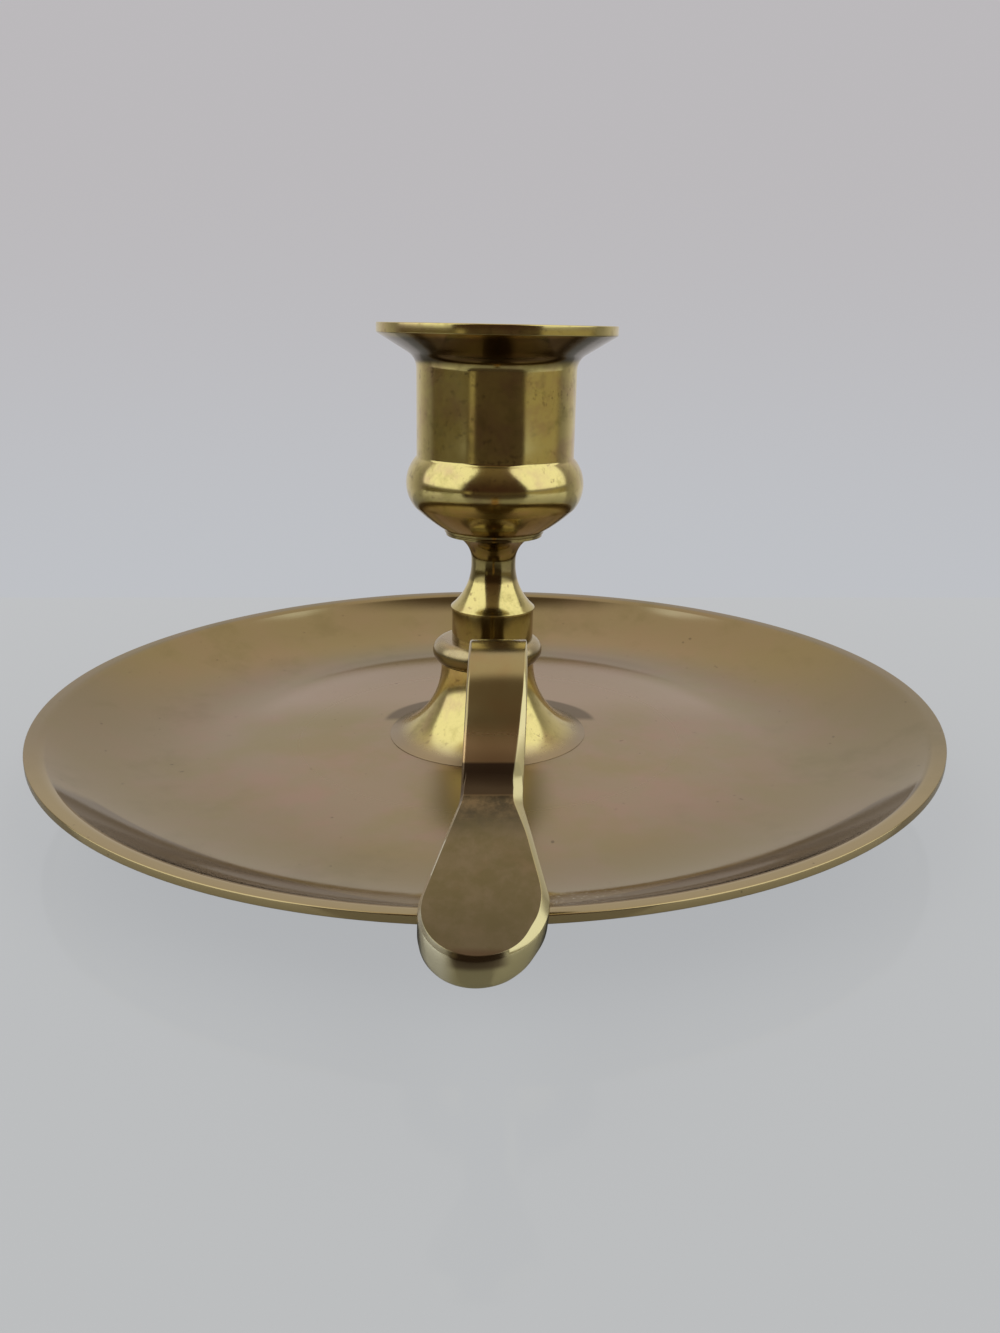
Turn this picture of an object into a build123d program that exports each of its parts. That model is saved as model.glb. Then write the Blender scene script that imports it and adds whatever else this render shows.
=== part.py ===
"""Brass chamberstick: dished pan, turned stem with a candle cup, and a cast finger loop with a thumb rest.

The origin is the middle of the pan on the table, +Z is up and the handle points along -Y.
All sizes are in millimetres, and heights are measured from the table.
"""
from build123d import *
from math import asin, atan, cos, hypot, radians, sin, tan
import os

os.makedirs("parts", exist_ok=True)

# Pan: a dished brass plate with a flat floor, a rising wall and a narrow flat rim, standing on a foot ring
pan_radius = 75.0
pan_depth = 7.2
pan_wall = 1.2
wall_width = 26.0
rim_band_width = 2.0
rim_band_slope = 5.0
rim_edge_round = 0.25
foot_ring_inset = 3.0
foot_ring_width = 2.4
foot_ring_height = 3.6
foot_ring_round = 0.6

# Trumpet foot: the flared base of the stem, hollow underneath
trumpet_radius = 17.2
trumpet_edge = 0.7
trumpet_height = 11.9
trumpet_top_radius = 7.6
trumpet_flare_radius = 14.6
trumpet_wall = 1.9
trumpet_seat_width = 1.6
trumpet_boss = 3.5

# Collar ring: the loose turned bead between the trumpet foot and the stem
collar_radius = 9.4
collar_height = 4.6

# Stem: drum, waisted neck and the flange that carries the cup
drum_radius = 6.95
drum_height = 5.6
drum_lip = 0.2
drum_lip_height = 0.3
neck_radius = 3.75
neck_height = 0.7
cone_height = 8.1
neck_curve_radius = 4.3
flange_height = 0.5
flange_round = 0.2
tenon_radius = 3.0
tenon_length = 4.6

# Candle cup: bowl, straight barrel and flared lip, bored for the candle
candle_radius = 11.0
cup_height = 33.2
cup_seat_radius = 8.3
cup_seat_edge = 0.4
barrel_wall = 1.73
barrel_foot_height = 12.4
barrel_foot_radius = 2.0
bowl_bulge = 1.73
bowl_middle_height = 7.9
bowl_edge_bulge = 0.47
bowl_edge_height = 4.3
bowl_under_radius = 26.0
lip_overhang = 6.32
lip_edge = 1.5
lip_under_radius = 2.8
lip_slope = 31.0
lip_round = 0.35
lip_flat_width = 1.0
socket_mouth_drop = 3.6
socket_mouth_radius = 5.0
socket_floor = 1.15
socket_bottom_drop = 1.4

# Fastening of the stem: one long screw from below, with a washer
screw_radius = 2.5
screw_grip = 8.0
screw_head_radius = 4.4
screw_head_height = 1.9
screw_head_round = 0.9
screw_slot_width = 1.2
screw_slot_depth = 0.9
screw_end_chamfer = 0.5
washer_radius = 6.0
washer_height = 0.8

# Finger loop: flat strap bent into an upright loop, with a foot on the pan wall and a thumb rest outside
loop_inset = 12.5
loop_width = 28.0
loop_straight = 4.0
loop_sink = 4.5
strap_width = 6.8
strap_thickness = 3.0
strap_round = 0.45
loop_foot_width = 10.0
loop_foot_length = 16.0
loop_foot_corner = 3.0
loop_foot_round = 0.8
loop_foot_rise = 1.5
thumb_length = 20.5
thumb_root_rise = 3.46
thumb_thickness = 3.2
thumb_slope = 19.0
thumb_radius = 6.25
thumb_neck_length = 1.1
thumb_neck_radius = 6.0
thumb_fillet = 3.6
thumb_under_fillet = 1.0

# Rivets: two through the loop's foot and the pan
rivet_radius = 1.5
rivet_spacing = 5.8
rivet_head_radius = 2.3
rivet_head_height = 1.0
rivet_head_round = 0.7
rivet_tail_height = 0.8

# Clearances, and how far cuts run past what they cut
candle_clearance = 0.2
bore_clearance = 0.15
thread_clearance = 0.05
cut_overrun = 5.0

# Levels and places worked out from the sizes above
floor_under = foot_ring_height
floor_top = floor_under + pan_wall
rim_height = floor_top + pan_depth
band_start_radius = pan_radius - rim_band_width
band_start_height = rim_height - rim_band_width * tan(radians(rim_band_slope))
floor_radius = band_start_radius - wall_width
foot_ring_radius = floor_radius - foot_ring_inset
wall_turn = 2 * atan((band_start_height - floor_top) / wall_width)
wall_mitre = (wall_turn + radians(rim_band_slope)) / 2
wall_radius = wall_width / sin(wall_turn)
trumpet_top = floor_top + trumpet_height
collar_top = trumpet_top + collar_height
drum_top = collar_top + drum_height
neck_low = drum_top + cone_height
neck_high = neck_low + neck_height
flange_under = neck_high + neck_curve_radius
cup_seat = flange_under + flange_height
cup_top = cup_seat + cup_height
screw_hole_radius = screw_radius + bore_clearance
socket_radius = candle_radius + candle_clearance
barrel_radius = socket_radius + barrel_wall
lip_radius = barrel_radius + lip_overhang
loop_centre_reach = pan_radius - loop_inset
loop_outer_reach = loop_centre_reach + loop_width / 2
loop_bottom = rim_height - loop_sink
loop_middle_height = loop_bottom + (loop_width + loop_straight) / 2
loop_top_height = loop_bottom + loop_width + loop_straight
loop_foot_top = loop_bottom + strap_thickness + loop_foot_rise
strap_middle_reach = loop_outer_reach - strap_thickness / 2
thumb_reach = loop_outer_reach + thumb_length
thumb_neck_reach = loop_outer_reach + thumb_neck_length
thumb_middle_reach = thumb_reach - thumb_radius
rivet_reaches = [loop_centre_reach - rivet_spacing / 2, loop_centre_reach + rivet_spacing / 2]


def draw_pan_top(start_radius):
    """Upper surface of the pan in a radial section, from start_radius out to the rim."""
    Line((start_radius, floor_top), (floor_radius, floor_top))
    TangentArc(
        (floor_radius, floor_top), (band_start_radius, band_start_height), tangent=(1, 0)
    )
    Line((band_start_radius, band_start_height), (pan_radius, rim_height))


def wall_top_at(radius):
    """Height of the pan wall's upper surface at a radius between the floor and the rim band."""
    run = radius - floor_radius
    return floor_top + wall_radius - (wall_radius**2 - run**2) ** 0.5


# Drip pan, with its foot ring, the centre hole and the two rivet holes
with BuildPart() as drip_pan:
    with BuildSketch(Plane.XZ) as pan_section:
        with BuildLine():
            draw_pan_top(screw_hole_radius)
            under_end = (
                band_start_radius + pan_wall * sin(wall_mitre),
                band_start_height - pan_wall * cos(wall_mitre),
            )
            ring_inner_radius = foot_ring_radius - foot_ring_width
            Polyline((pan_radius, rim_height), (pan_radius, rim_height - pan_wall), under_end)
            TangentArc((floor_radius, floor_under), under_end, tangent=(1, 0))
            Polyline(
                (floor_radius, floor_under),
                (foot_ring_radius, floor_under),
                (foot_ring_radius, 0),
                (ring_inner_radius, 0),
                (ring_inner_radius, floor_under),
                (screw_hole_radius, floor_under),
                (screw_hole_radius, floor_top),
            )
        make_face()
        ring_corners = pan_section.vertices().group_by(Axis.Y)[0]
        fillet(ring_corners, radius=foot_ring_round)
    revolve(axis=Axis.Z)
    rim_corners = drip_pan.edges().filter_by(GeomType.CIRCLE).sort_by(SortBy.RADIUS)[-2:]
    fillet(rim_corners, radius=rim_edge_round)
    with Locations([(0, -reach) for reach in rivet_reaches]):
        Hole(rivet_radius + bore_clearance)
drip_pan.part.label = "drip_pan"

# Everything under the pan's upper surface, used to fit the loop's foot to the pan
with BuildPart() as space_under_pan_top:
    with BuildSketch(Plane.XZ):
        with BuildLine():
            draw_pan_top(0)
            Polyline((pan_radius, rim_height), (pan_radius, 0), (0, 0), (0, floor_top))
        make_face()
    revolve(axis=Axis.Z)

# Trumpet foot
with BuildPart() as trumpet_foot:
    hollow_top = trumpet_top - trumpet_boss
    with BuildSketch(Plane.XZ):
        with BuildLine():
            Polyline(
                (screw_hole_radius, hollow_top),
                (screw_hole_radius, trumpet_top),
                (trumpet_top_radius, trumpet_top),
            )
            RadiusArc(
                (trumpet_top_radius, trumpet_top),
                (trumpet_radius, floor_top + trumpet_edge),
                -trumpet_flare_radius,
            )
            Polyline(
                (trumpet_radius, floor_top + trumpet_edge),
                (trumpet_radius, floor_top),
                (trumpet_radius - trumpet_seat_width, floor_top),
            )
            RadiusArc(
                (trumpet_top_radius - trumpet_wall, hollow_top),
                (trumpet_radius - trumpet_seat_width, floor_top),
                -trumpet_flare_radius,
            )
            Line((trumpet_top_radius - trumpet_wall, hollow_top), (screw_hole_radius, hollow_top))
        make_face()
    revolve(axis=Axis.Z)
trumpet_foot.part.label = "trumpet_foot"

# Collar ring, a half-round bead with flat ends
with BuildPart() as collar_ring:
    bead_radius = collar_height / 2
    bead_reach = collar_radius - bead_radius
    with BuildSketch(Plane.XZ):
        with BuildLine():
            Polyline(
                (bead_reach, trumpet_top),
                (screw_hole_radius, trumpet_top),
                (screw_hole_radius, collar_top),
                (bead_reach, collar_top),
            )
            ThreePointArc(
                (bead_reach, collar_top),
                (collar_radius, trumpet_top + bead_radius),
                (bead_reach, trumpet_top),
            )
        make_face()
    revolve(axis=Axis.Z)
collar_ring.part.label = "collar_ring"

# Baluster stem: drum, cone, neck, flange and the tenon that screws into the cup
with BuildPart() as baluster_stem:
    lip_start = drum_top - drum_lip_height
    cone_radius = drum_radius + drum_lip
    flange_radius = neck_radius + neck_curve_radius
    screw_socket_top = collar_top + screw_grip + thread_clearance
    stem_bore = screw_radius + thread_clearance
    with BuildSketch(Plane.XZ):
        with BuildLine():
            Polyline(
                (0, screw_socket_top),
                (stem_bore, screw_socket_top),
                (stem_bore, collar_top),
                (drum_radius, collar_top),
                (drum_radius, lip_start),
                (cone_radius, lip_start),
                (cone_radius, drum_top),
            )
            TangentArc((neck_radius, neck_low), (cone_radius, drum_top), tangent=(0, -1))
            Line((neck_radius, neck_low), (neck_radius, neck_high))
            TangentArc((neck_radius, neck_high), (flange_radius, flange_under), tangent=(0, 1))
            Polyline(
                (flange_radius, flange_under),
                (flange_radius, cup_seat),
                (tenon_radius, cup_seat),
                (tenon_radius, cup_seat + tenon_length),
                (0, cup_seat + tenon_length),
                (0, screw_socket_top),
            )
        make_face()
    revolve(axis=Axis.Z)
    flange_edges = baluster_stem.edges().filter_by(GeomType.CIRCLE).group_by(Axis.Z)
    fillet(flange_edges[-2].sort_by(SortBy.RADIUS)[-1:], radius=flange_round)
baluster_stem.part.label = "baluster_stem"

# Candle cup, bored for the candle and tapped underneath for the stem's tenon
with BuildPart() as candle_cup:
    seat_edge_top = cup_seat + cup_seat_edge
    bowl_edge = (barrel_radius + bowl_edge_bulge, cup_seat + bowl_edge_height)
    bowl_middle = (barrel_radius + bowl_bulge, cup_seat + bowl_middle_height)
    barrel_foot = (barrel_radius, cup_seat + barrel_foot_height)
    lip_under = (lip_radius, cup_top - lip_edge)
    cup_bore = tenon_radius + thread_clearance
    cup_bore_top = cup_seat + tenon_length + thread_clearance
    socket_mouth = (socket_radius, cup_top - socket_mouth_drop)
    socket_bottom = cup_bore_top + socket_floor + socket_bottom_drop
    with BuildSketch(Plane.XZ) as cup_section:
        with BuildLine():
            Polyline(
                (0, socket_bottom - socket_bottom_drop),
                (0, cup_bore_top),
                (cup_bore, cup_bore_top),
                (cup_bore, cup_seat),
                (cup_seat_radius, cup_seat),
                (cup_seat_radius, seat_edge_top),
            )
            RadiusArc((cup_seat_radius, seat_edge_top), bowl_edge, -bowl_under_radius)
            ThreePointArc(bowl_edge, bowl_middle, barrel_foot)
            slope_start = (barrel_radius, lip_under[1] - lip_overhang * tan(radians(lip_slope)))
            Polyline(
                barrel_foot,
                slope_start,
                lip_under,
                (lip_radius, cup_top),
                (lip_radius - lip_flat_width, cup_top),
                socket_mouth,
                (socket_radius, socket_bottom),
                (0, socket_bottom - socket_bottom_drop),
            )
        make_face()
        fillet(cup_section.vertices().sort_by_distance((*slope_start, 0))[0], radius=lip_under_radius)
        fillet(cup_section.vertices().sort_by_distance((*barrel_foot, 0))[0], radius=barrel_foot_radius)
        fillet(cup_section.vertices().sort_by_distance((*lip_under, 0))[0], radius=lip_round)
        fillet(cup_section.vertices().sort_by_distance((lip_radius, cup_top, 0))[0], radius=lip_round)
        fillet(cup_section.vertices().sort_by_distance((*socket_mouth, 0))[0], radius=socket_mouth_radius)
    revolve(axis=Axis.Z)
candle_cup.part.label = "candle_cup"

# Tie screw, a slotted screw from under the pan up into the drum
with BuildPart() as tie_screw:
    head_top = floor_under - washer_height
    with BuildSketch(Plane.XY.offset(head_top)):
        Circle(screw_head_radius)
    extrude(amount=-screw_head_height)
    fillet(tie_screw.edges().group_by(Axis.Z)[0], radius=screw_head_round)
    with BuildSketch(Plane.XY.offset(head_top)):
        Circle(screw_radius)
    extrude(amount=collar_top + screw_grip - head_top)
    chamfer(tie_screw.edges().group_by(Axis.Z)[-1], length=screw_end_chamfer)
    with BuildSketch(Plane.XY.offset(head_top - screw_head_height)):
        Rectangle(2 * screw_head_radius + cut_overrun, screw_slot_width)
    extrude(amount=screw_slot_depth, mode=Mode.SUBTRACT)
tie_screw.part.label = "tie_screw"

# Washer between the screw head and the pan
with BuildPart() as tie_washer:
    with BuildSketch(Plane.XY.offset(floor_under)):
        Circle(washer_radius)
        Circle(screw_hole_radius, mode=Mode.SUBTRACT)
    extrude(amount=-washer_height)
tie_washer.part.label = "tie_washer"

# Foot of the finger loop, a block with rounded corners that stands on the pan wall
with BuildPart() as loop_foot:
    with BuildSketch(Plane.XY):
        with Locations((0, -loop_centre_reach)):
            RectangleRounded(loop_foot_width, loop_foot_length, loop_foot_corner)
    extrude(amount=loop_foot_top)
    fillet(loop_foot.edges().group_by(Axis.Z)[-1], radius=loop_foot_round)

# Finger loop: its side shape is cut to its plan shape, then the foot is added and fitted to the pan.
# In the side plane, the first coordinate runs outwards along the handle and the second one up.
handle_side = Plane(origin=(0, 0, 0), x_dir=(0, -1, 0), z_dir=(-1, 0, 0))
with BuildPart() as finger_loop:
    thumb_fall = tan(radians(thumb_slope))
    upper_root = (loop_outer_reach, loop_middle_height + thumb_root_rise)
    lower_root = (loop_outer_reach, upper_root[1] - thumb_thickness)
    inner_height = upper_root[1] + strap_thickness / 2 * thumb_fall
    cut_reach = thumb_reach + cut_overrun
    cut_height = upper_root[1] - (cut_reach - loop_outer_reach) * thumb_fall
    with BuildSketch(handle_side) as loop_side:
        with Locations((loop_centre_reach, loop_middle_height)):
            SlotCenterToCenter(loop_straight, loop_width, rotation=90)
        with BuildLine():
            Polyline(
                (strap_middle_reach, inner_height),
                (cut_reach, cut_height),
                (cut_reach, cut_height - thumb_thickness),
                (strap_middle_reach, inner_height - thumb_thickness),
                close=True,
            )
        make_face()
        fillet(loop_side.vertices().sort_by_distance((*upper_root, 0))[0], radius=thumb_fillet)
        fillet(loop_side.vertices().sort_by_distance((*lower_root, 0))[0], radius=thumb_under_fillet)
        with Locations((loop_centre_reach, loop_middle_height)):
            loop_opening = loop_width - 2 * strap_thickness
            SlotCenterToCenter(loop_straight, loop_opening, rotation=90, mode=Mode.SUBTRACT)
    extrude(amount=thumb_radius + cut_overrun, both=True)
    with BuildSketch(Plane.XY) as loop_plan:
        strap_start = loop_centre_reach - loop_width
        half_strap = strap_width / 2
        neck_run = thumb_middle_reach - thumb_neck_reach
        flare = asin(thumb_radius / hypot(neck_run, half_strap)) - atan(half_strap / neck_run)
        flare_end = (thumb_radius * cos(flare), -(thumb_middle_reach - thumb_radius * sin(flare)))
        with BuildLine():
            Polyline(
                (-flare_end[0], flare_end[1]),
                (-half_strap, -thumb_neck_reach),
                (-half_strap, -strap_start),
                (half_strap, -strap_start),
                (half_strap, -thumb_neck_reach),
                flare_end,
            )
            ThreePointArc(flare_end, (0, -thumb_reach), (-flare_end[0], flare_end[1]))
        make_face()
        neck_corners = loop_plan.vertices().group_by(Axis.Y)[-2]
        fillet(neck_corners, radius=thumb_neck_radius)
    extrude(amount=loop_top_height + cut_overrun, mode=Mode.INTERSECT)
    cross_edges = finger_loop.edges().filter_by(Axis.X)
    upright_edges = finger_loop.edges().filter_by(Axis.Z)
    wall_joints = upright_edges.filter_by(lambda edge: -edge.center().Y > loop_outer_reach)
    fillet(finger_loop.edges() - cross_edges - wall_joints, radius=strap_round)
    add(loop_foot.part)
    add(space_under_pan_top.part, mode=Mode.SUBTRACT)
    with BuildSketch(Plane.XY):
        with Locations([(0, -reach) for reach in rivet_reaches]):
            Circle(rivet_radius + bore_clearance)
    extrude(amount=loop_foot_top, mode=Mode.SUBTRACT)
finger_loop.part.label = "finger_loop"

# Rivets through the loop's foot and the pan wall, domed above and peened over below
with BuildPart() as handle_rivets:
    for reach in rivet_reaches:
        tail_bottom = wall_top_at(reach - rivet_head_radius) - pan_wall - rivet_tail_height
        with BuildSketch(Plane.XY.offset(tail_bottom)):
            with Locations((0, -reach)):
                Circle(rivet_head_radius)
        extrude(amount=rivet_tail_height + pan_wall)
        with BuildSketch(Plane.XY.offset(tail_bottom)):
            with Locations((0, -reach)):
                Circle(rivet_radius)
        extrude(amount=loop_foot_top - tail_bottom)
        with BuildSketch(Plane.XY.offset(loop_foot_top)):
            with Locations((0, -reach)):
                Circle(rivet_head_radius)
        extrude(amount=rivet_head_height)
    rivet_ends = handle_rivets.edges().filter_by(GeomType.CIRCLE)
    fillet(rivet_ends.group_by(Axis.Z)[-1], radius=rivet_head_round)
    add(drip_pan.part, mode=Mode.SUBTRACT)
    add(finger_loop.part, mode=Mode.SUBTRACT)
handle_rivets.part.label = "handle_rivets"

for piece in (
    drip_pan,
    trumpet_foot,
    collar_ring,
    baluster_stem,
    candle_cup,
    tie_screw,
    tie_washer,
    finger_loop,
    handle_rivets,
):
    export_step(piece.part, f"parts/{piece.part.label}.step")
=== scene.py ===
"""Looks of a brass chamberstick with a dished pan, a turned stem and a cast finger loop.

Metres, +Z up. The pan's foot ring stands on z = 0 and the handle points along -Y.
"""
from math import acos, asin, atan, cos, degrees, hypot, pi, radians, sin, tan

import bmesh
import bpy
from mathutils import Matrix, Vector


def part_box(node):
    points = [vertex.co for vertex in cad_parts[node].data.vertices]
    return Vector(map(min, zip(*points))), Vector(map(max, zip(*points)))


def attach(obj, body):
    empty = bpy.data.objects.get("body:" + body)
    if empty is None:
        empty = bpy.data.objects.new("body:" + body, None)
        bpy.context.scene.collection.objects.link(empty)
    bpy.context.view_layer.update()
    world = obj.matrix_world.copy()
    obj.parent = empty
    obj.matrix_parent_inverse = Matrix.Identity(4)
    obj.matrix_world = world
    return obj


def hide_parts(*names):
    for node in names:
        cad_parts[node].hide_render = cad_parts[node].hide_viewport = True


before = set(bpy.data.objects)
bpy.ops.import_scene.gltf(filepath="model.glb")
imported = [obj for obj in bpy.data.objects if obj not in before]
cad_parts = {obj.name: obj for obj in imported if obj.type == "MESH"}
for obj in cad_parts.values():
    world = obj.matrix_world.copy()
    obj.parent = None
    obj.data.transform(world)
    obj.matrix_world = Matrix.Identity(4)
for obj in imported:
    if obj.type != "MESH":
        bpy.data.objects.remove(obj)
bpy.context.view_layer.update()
mm = 0.001

# Drip pan: a dished plate of spun sheet brass with a turned foot ring underneath.
# It is the dullest piece: years of handling left it satin, blotched pink and olive, with dust to
# the right of the handle. Its colour also holds painted light and shade: dark crescents inside the
# front wall, a shadow behind the stem's foot, a dark arc where the back floor meets the wall, shade
# on the floor in front of the foot, a highlight on the front rim and a lighter floor behind the
# stem.
pan_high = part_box("drip_pan")[1]
pan_radius = pan_high.x
rim_height = pan_high.z
pan_wall = 1.2 * mm
pan_depth = 7.2 * mm
floor_top = rim_height - pan_depth
seat_radius = 17.0 * mm
floor_fall = 0.8 * mm
rim_band_width = 2.2 * mm
rim_band_slope = radians(5)
rim_round = 0.15 * mm
wall_width = 25.2 * mm
band_round = 3 * mm
foot_ring_inset = 3 * mm
foot_ring_width = 2.4 * mm
foot_ring_round = 0.6 * mm
under_round = 0.4 * mm
screw_hole = 2.65 * mm
sharp_angle = radians(28)
merge_distance = 0.002 * mm
on_axis = 1e-7


class Outline:
    """A section in the plane of radius and height, drawn from stop to stop, kept as points."""

    def __init__(self, radius, height):
        self.runs = []
        self.rounds = []
        self.here = Vector((radius, height))

    def line(self, radius, height, corner=0.0, steps=1):
        """A straight run. Its end is a corner, rounded over the given radius."""
        there = Vector((radius, height))
        self.runs.append([self.here.lerp(there, k / steps) for k in range(steps + 1)])
        self.rounds.append(corner)
        self.here = there
        return self

    def arc(self, radius, height, bow, corner=0.0, step=radians(3)):
        """An arc of radius bow.

        A positive bow bends to the left of the way there, a negative one to the right.
        """
        there = Vector((radius, height))
        chord = there - self.here
        half = asin(min(1.0, chord.length / 2 / abs(bow)))
        side = Vector((-chord.y, chord.x)).normalized() * (1 if bow < 0 else -1)
        middle = (self.here + there) / 2 + side * abs(bow) * cos(half)
        start = self.here - middle
        count = max(4, round(2 * half / step))
        way = 1 if bow > 0 else -1
        points = []
        for k in range(count + 1):
            turn = way * 2 * half * k / count
            points.append(middle + Vector((start.x * cos(turn) + start.y * sin(turn),
                                           start.y * cos(turn) - start.x * sin(turn))))
        points[-1] = there
        self.runs.append(points)
        self.rounds.append(corner)
        self.here = there
        return self

    def points(self, round_steps=6):
        """All points in order, with each corner cut back and rounded."""
        runs = [list(run) for run in self.runs]
        joined = [runs[0][0]]
        for number, run in enumerate(runs):
            radius = self.rounds[number]
            if number + 1 < len(runs) and radius > 0:
                after = runs[number + 1]
                corner = run[-1]
                into = (corner - run[-2]).normalized()
                out = (after[1] - corner).normalized()
                turn = acos(max(-1.0, min(1.0, into.dot(out))))
                cut = radius * tan(turn / 2)
                run = cut_end(run, cut)
                after = cut_end(after[::-1], cut)[::-1]
                runs[number + 1] = after
                joined += run[1:]
                pull = 4 / 3 * tan(turn / 4) * radius
                a, b = run[-1], after[0]
                a_pull = a + (corner - a).normalized() * pull
                b_pull = b + (corner - b).normalized() * pull
                for k in range(1, round_steps):
                    t = k / round_steps
                    u = 1 - t
                    near = a * u**3 + a_pull * 3 * u * u * t
                    joined.append(near + b_pull * 3 * u * t * t + b * t**3)
                joined.append(b)
            else:
                joined += run[1:]
        return [(p.x, p.y) for p in joined]


def cut_end(run, cut):
    """The run without its last stretch of length cut."""
    run = list(run)
    while len(run) > 2 and (run[-1] - run[-2]).length <= cut:
        cut -= (run[-1] - run[-2]).length
        run.pop()
    last = run[-1] - run[-2]
    run[-1] = run[-2] + last * max(0.02, 1 - cut / last.length)
    return run


def turned(name, points, sides):
    """A solid of revolution about Z from section points that run once round the section."""
    mesh = bpy.data.meshes.new(name)
    verts = []
    rings = []
    for radius, height in points:
        if radius < on_axis:
            rings.append([len(verts)] * sides)
            verts.append((0, 0, height))
        else:
            rings.append(list(range(len(verts), len(verts) + sides)))
            for k in range(sides):
                turn = 2 * pi * k / sides
                verts.append((radius * cos(turn), radius * sin(turn), height))
    faces = []
    closed = points[0][0] > on_axis
    pairs = list(zip(rings, rings[1:])) + ([(rings[-1], rings[0])] if closed else [])
    for low, high in pairs:
        for k in range(sides):
            corners = [low[k], low[(k + 1) % sides], high[(k + 1) % sides], high[k]]
            face = list(dict.fromkeys(corners))
            if len(face) > 2:
                faces.append(face)
    mesh.from_pydata(verts, [], faces)
    return finished_piece(name, mesh)


def finished_piece(name, mesh):
    """An object for a mesh, cleaned, with outward normals, smooth faces and sharp corners."""
    work = bmesh.new()
    work.from_mesh(mesh)
    bmesh.ops.remove_doubles(work, verts=work.verts, dist=merge_distance)
    bmesh.ops.recalc_face_normals(work, faces=work.faces)
    work.to_mesh(mesh)
    work.free()
    mesh.polygons.foreach_set("use_smooth", [True] * len(mesh.polygons))
    mesh.set_sharp_from_angle(angle=sharp_angle)
    piece = bpy.data.objects.new(name, mesh)
    bpy.context.scene.collection.objects.link(piece)
    return piece


def ease(value, low, high):
    """0 below low, 1 above high, smooth between."""
    share = max(0.0, min(1.0, (value - low) / (high - low)))
    return share * share * (3 - 2 * share)


class Value:
    """A socket in a finish, so that shader maths reads as sums and products."""

    def __init__(self, finish, socket):
        self.finish = finish
        self.socket = socket

    def math(self, operation, *values):
        """One maths node in this value's finish."""
        return self.finish.math_of(operation, *values)

    def __add__(self, other):
        return self.math("ADD", self, other)

    def __sub__(self, other):
        return self.math("SUBTRACT", self, other)

    def __rsub__(self, other):
        return self.math("SUBTRACT", other, self)

    def __mul__(self, other):
        return self.math("MULTIPLY", self, other)

    def __truediv__(self, other):
        return self.math("DIVIDE", self, other)

    def __pow__(self, other):
        return self.math("POWER", self, other)

    __radd__ = __add__
    __rmul__ = __mul__


class Finish:
    """A procedural surface: its nodes, and the few patterns that the brass finishes share."""

    def __init__(self, name):
        self.material = bpy.data.materials.new(name)
        self.material.use_nodes = True
        self.tree = self.material.node_tree
        self.surface = self.tree.nodes["Principled BSDF"]
        self.place = self.node("ShaderNodeTexCoord", {}, (), "Object")

    def node(self, kind, settings, values, output=0):
        """Adds a node: settings first, then values or links of its sockets, by place or name."""
        made = self.tree.nodes.new(kind)
        for setting, value in settings.items():
            setattr(made, setting, value)
        pairs = values.items() if isinstance(values, dict) else enumerate(values)
        for key, value in pairs:
            self.join(made.inputs[key], value)
        return Value(self, made.outputs[output])

    def join(self, socket, value):
        """Links a value to a socket, or sets it there."""
        if isinstance(value, Value):
            self.tree.links.new(value.socket, socket)
        else:
            socket.default_value = value

    def set(self, **inputs):
        """Sets or links the surface's own sockets, with spaces written as underscores."""
        for name, value in inputs.items():
            self.join(self.surface.inputs[name.replace("_", " ")], value)

    def step(self, value, low, high):
        """0 below low, 1 above high, smooth between."""
        settings = {"interpolation_type": "SMOOTHSTEP"}
        values = {"Value": value, "From Min": low, "From Max": high}
        return self.node("ShaderNodeMapRange", settings, values)

    def between(self, value, rise, fall):
        """0, then 1 after the rise and 0 again after the fall, each a (low, high) pair."""
        return self.step(value, *rise) * (1 - self.step(value, *fall))

    def noise(self, size, detail=3.0, rough=0.5, seed=0.0):
        """Soft noise, about 0 to 1, with lumps of the given size in metres."""
        values = {"Vector": self.place, "W": seed, "Scale": 1 / size}
        values.update({"Detail": detail, "Roughness": rough})
        return self.node("ShaderNodeTexNoise", {"noise_dimensions": "4D"}, values)

    def math_of(self, operation, *values):
        """One maths node."""
        return self.node("ShaderNodeMath", {"operation": operation}, values)

    def mix(self, share, first, second):
        """From the first colour to the second as share goes from 0 to 1."""
        return self.node("ShaderNodeMix", {"data_type": "RGBA"}, {0: share, 6: first, 7: second}, 2)

    def axes(self):
        """X, Y and Z of the place, as three values."""
        split = self.node("ShaderNodeSeparateXYZ", {}, (self.place,))
        outputs = split.socket.node.outputs
        return [Value(self, outputs[axis]) for axis in "XYZ"]

    def bump(self, height, strength, depth):
        """A normal from a height between 0 and 1, whose full range is depth."""
        values = {"Height": height, "Strength": strength, "Distance": depth}
        return self.node("ShaderNodeBump", {}, values, "Normal")

    def vector(self, x, y, z):
        """One vector from three values."""
        return self.node("ShaderNodeCombineXYZ", {}, (x, y, z))


def lathe_marks(finish, across, pitch):
    """Fine rings left by the tool: noise that changes with across and hardly round the axis."""
    x, y, z = finish.axes()
    off_axis = 0.01 * mm
    drift = 0.15
    reach = (x * x + y * y) ** 0.5 + off_axis
    place = finish.vector(x / reach * drift, y / reach * drift, across / pitch)
    values = {"Vector": place, "Scale": 1.0, "Detail": 2.0}
    return finish.node("ShaderNodeTexNoise", {}, values)


band_drop = rim_band_width * tan(rim_band_slope)
band_start = Vector((pan_radius - rim_band_width, rim_height - band_drop))
floor_radius = band_start.x - wall_width
floor_edge = floor_top - floor_fall
floor_slope = atan(floor_fall / (floor_radius - seat_radius))
chord_slope = atan((band_start.y - floor_edge) / wall_width)
wall_turn = 2 * (chord_slope + floor_slope)
wall_bow = hypot(wall_width, band_start.y - floor_edge) / 2 / sin(wall_turn / 2)
under_end = Vector((band_start.x + pan_wall * 0.3, band_start.y - pan_wall))
foot_ring_radius = floor_radius - foot_ring_inset
ring_inner = foot_ring_radius - foot_ring_width
under = floor_top - pan_wall

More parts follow.
